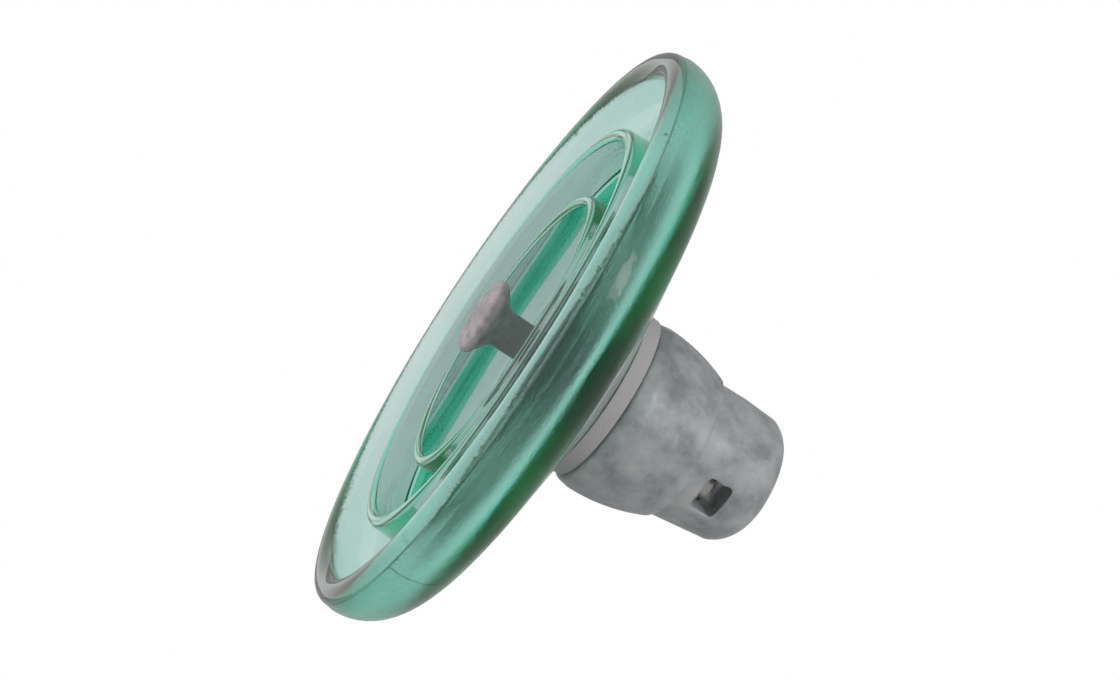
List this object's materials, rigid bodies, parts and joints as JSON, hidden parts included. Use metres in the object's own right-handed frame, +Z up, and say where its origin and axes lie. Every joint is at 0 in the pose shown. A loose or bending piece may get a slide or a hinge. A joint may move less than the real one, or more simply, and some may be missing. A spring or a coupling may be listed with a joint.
{
  "type": "cap and pin disc insulator",
  "caption": "Toughened glass disc insulator with a cast socket cap above and a forged ball pin below, for suspension strings.",
  "frame": {"origin": "centre of the ball seat in the cap's socket, on the unit's axis", "axes": "+Z up along the axis, out through the cap's end; +Y out through the socket's mouth; the clip window faces -Y"},
  "size_m": [0.265, 0.265, 0.1442],
  "materials": {
    "glass": "clear, pale green, smooth",
    "cap_iron": "hot-dip galvanised, matte",
    "pin_steel": "galvanised and dulled, rough",
    "cement": "set cement, matte",
    "cushion": "matte",
    "cork": "matte",
    "clip_steel": "dull drawn wire"
  },
  "bodies": {
    "insulator": {"glass_shell": "glass", "cap": "cap_iron", "pin": "pin_steel", "cap_cement": "cement", "pin_cement": "cement", "head_cushion": "cushion", "pin_cushion": "cork"},
    "clip": {"locking_clip": "clip_steel"}
  },
  "joints": [
    {"name": "clip_slide", "type": "slide", "parent": "insulator", "child": "clip", "axis": [0, -1, 0], "range_m": [0, 0.011]}
  ]
}
